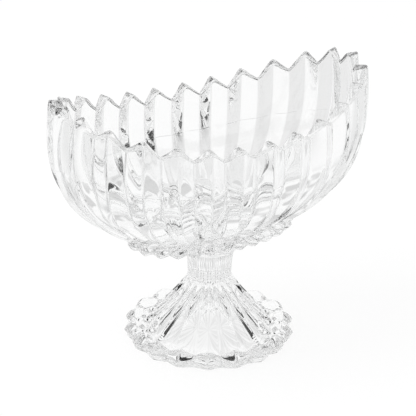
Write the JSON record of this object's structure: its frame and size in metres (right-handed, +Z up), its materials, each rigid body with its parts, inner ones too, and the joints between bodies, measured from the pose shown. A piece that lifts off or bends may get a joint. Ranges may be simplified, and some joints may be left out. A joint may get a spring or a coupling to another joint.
{
  "type": "footed oval serving bowl",
  "caption": "Oval footed serving bowl of clear pressed glass with a pleated, saw-toothed rim that rises to both ends, on a hollow fluted pedestal with a knuckled foot.",
  "frame": {"origin": "centre of the foot's base, on the table", "axes": "+X along the bowl's long axis towards one end tooth, +Z up"},
  "size_m": [0.2642, 0.1458, 0.2135],
  "materials": {
    "clear_glass": "clear fire-polished pressed glass"
  },
  "bodies": {
    "root": {"bowl": "clear_glass", "wafer": "clear_glass", "pedestal": "clear_glass"}
  },
  "joints": []
}
